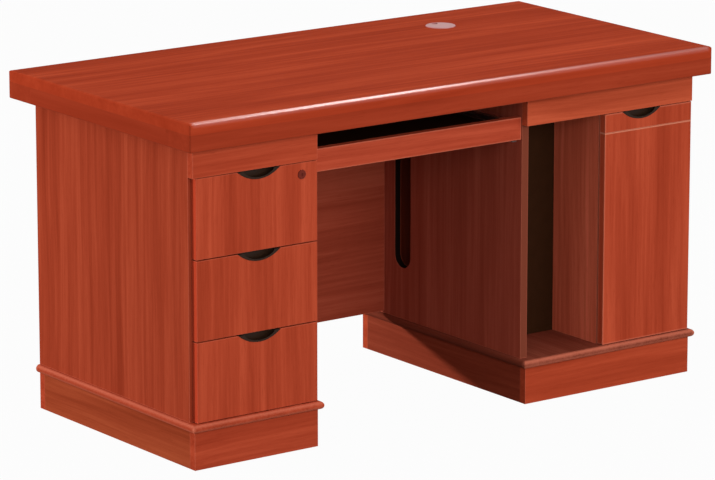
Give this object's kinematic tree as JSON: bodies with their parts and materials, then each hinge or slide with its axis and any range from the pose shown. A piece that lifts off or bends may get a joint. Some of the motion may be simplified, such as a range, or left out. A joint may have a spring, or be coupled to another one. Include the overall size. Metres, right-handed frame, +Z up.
{
  "type": "pedestal desk",
  "caption": "Wooden office desk on two pedestals, with stacked drawers, an open bay beside a hinged cabinet, a sliding keyboard tray and a cable outlet in a thick top.",
  "frame": {"origin": "on the floor, under the middle of the top", "axes": "+X along the desk to the user's right, +Y away from the user, +Z up"},
  "size_m": [1.4, 0.7, 0.752],
  "materials": {
    "veneer_grain_x": "red mahogany veneer under satin lacquer, grain along the desk's length",
    "veneer_grain_y": "red mahogany veneer under satin lacquer, grain front to back",
    "veneer_grain_z": "red mahogany veneer under satin lacquer, upright grain",
    "drawer_wood": "plain red-brown board, matte",
    "black_laminate": "fine textured black laminate",
    "black_plastic": "satin black moulded plastic",
    "grommet_plastic": "satin silver-grey moulded plastic",
    "zinc_steel": "zinc plated steel",
    "lock_metal": "dark nickel plated lock"
  },
  "bodies": {
    "carcass": {"bay_back_board": "black_laminate", "cabinet_shelf": "veneer_grain_y", "door_catch": "black_plastic", "door_pivot_pins": "zinc_steel", "drawer_slide_wall_members": "zinc_steel", "grommet_sleeve": "grommet_plastic", "left_back_panel": "veneer_grain_z", "left_base_board": "veneer_grain_y", "left_front_rail": "veneer_grain_x", "left_inner_side": "veneer_grain_z", "left_outer_side": "veneer_grain_z", "left_plinth_cross_boards": "veneer_grain_y", "left_plinth_long_boards": "veneer_grain_x", "modesty_panel": "veneer_grain_x", "partition": "veneer_grain_z", "right_back_panel": "veneer_grain_z", "right_base_board": "veneer_grain_y", "right_front_rail": "veneer_grain_x", "right_inner_side": "veneer_grain_z", "right_outer_side": "veneer_grain_z", "right_plinth_cross_boards": "veneer_grain_y", "right_plinth_long_boards": "veneer_grain_x", "shelf_pins": "zinc_steel", "top_board": "veneer_grain_x", "top_brackets": "zinc_steel", "top_cross_strips": "veneer_grain_y", "top_long_strips": "veneer_grain_x", "tray_slide_wall_members": "zinc_steel"},
    "drawer_1": {"drawer_1_front": "veneer_grain_z", "drawer_1_pull": "black_plastic", "drawer_1_sides": "drawer_wood", "drawer_1_back": "drawer_wood", "drawer_1_bottom": "drawer_wood", "drawer_1_slide_inners": "zinc_steel", "lock_housing": "lock_metal"},
    "drawer_2": {"drawer_2_front": "veneer_grain_z", "drawer_2_pull": "black_plastic", "drawer_2_sides": "drawer_wood", "drawer_2_back": "drawer_wood", "drawer_2_bottom": "drawer_wood", "drawer_2_slide_inners": "zinc_steel"},
    "drawer_3": {"drawer_3_front": "veneer_grain_z", "drawer_3_pull": "black_plastic", "drawer_3_sides": "drawer_wood", "drawer_3_back": "drawer_wood", "drawer_3_bottom": "drawer_wood", "drawer_3_slide_inners": "zinc_steel"},
    "drawer_1_middle_slides": {"drawer_1_slide_middles": "zinc_steel"},
    "drawer_2_middle_slides": {"drawer_2_slide_middles": "zinc_steel"},
    "drawer_3_middle_slides": {"drawer_3_slide_middles": "zinc_steel"},
    "keyboard_tray": {"tray_board": "black_laminate", "tray_front": "veneer_grain_x", "tray_slide_inners": "zinc_steel"},
    "tray_middle_slides": {"tray_slide_middles": "zinc_steel"},
    "door": {"door_panel": "veneer_grain_z", "door_pull": "black_plastic", "door_strike": "zinc_steel"},
    "lock_plug": {"lock_barrel": "lock_metal", "lock_cam": "lock_metal"},
    "cable_cap": {"grommet_cap": "grommet_plastic"}
  },
  "joints": [
    {"name": "drawer_1_slide", "type": "slide", "parent": "carcass", "child": "drawer_1", "axis": [0, -1, 0], "range_m": [0, 0.42]},
    {"name": "drawer_1_middle_slide", "type": "slide", "parent": "carcass", "child": "drawer_1_middle_slides", "axis": [0, -1, 0], "range_m": [0, 0.21]},
    {"name": "drawer_2_slide", "type": "slide", "parent": "carcass", "child": "drawer_2", "axis": [0, -1, 0], "range_m": [0, 0.42]},
    {"name": "drawer_2_middle_slide", "type": "slide", "parent": "carcass", "child": "drawer_2_middle_slides", "axis": [0, -1, 0], "range_m": [0, 0.21]},
    {"name": "drawer_3_slide", "type": "slide", "parent": "carcass", "child": "drawer_3", "axis": [0, -1, 0], "range_m": [0, 0.42]},
    {"name": "drawer_3_middle_slide", "type": "slide", "parent": "carcass", "child": "drawer_3_middle_slides", "axis": [0, -1, 0], "range_m": [0, 0.21]},
    {"name": "tray_slide", "type": "slide", "parent": "carcass", "child": "keyboard_tray", "axis": [0, -1, 0], "range_m": [0, 0.3]},
    {"name": "tray_middle_slide", "type": "slide", "parent": "carcass", "child": "tray_middle_slides", "axis": [0, -1, 0], "range_m": [0, 0.15]},
    {"name": "door_hinge", "type": "hinge", "parent": "carcass", "child": "door", "pos_m": [0.6618, -0.308, 0.3625], "axis": [0, 0, 1], "range_deg": [0, 105]},
    {"name": "lock_turn", "type": "hinge", "parent": "drawer_1", "child": "lock_plug", "pos_m": [-0.3965, -0.308, 0.5988], "axis": [0, 1, 0], "range_deg": [0, 90]},
    {"name": "cap_turn", "type": "hinge", "parent": "carcass", "child": "cable_cap", "pos_m": [0.36, 0.2, 0.749], "axis": [0, 0, 1], "range_deg": [-180, 180]}
  ],
  "couplings": [
    {"joint": "drawer_1_middle_slide", "follows": "drawer_1_slide", "ratio": 0.5},
    {"joint": "drawer_2_middle_slide", "follows": "drawer_2_slide", "ratio": 0.5},
    {"joint": "drawer_3_middle_slide", "follows": "drawer_3_slide", "ratio": 0.5},
    {"joint": "tray_middle_slide", "follows": "tray_slide", "ratio": 0.5}
  ]
}
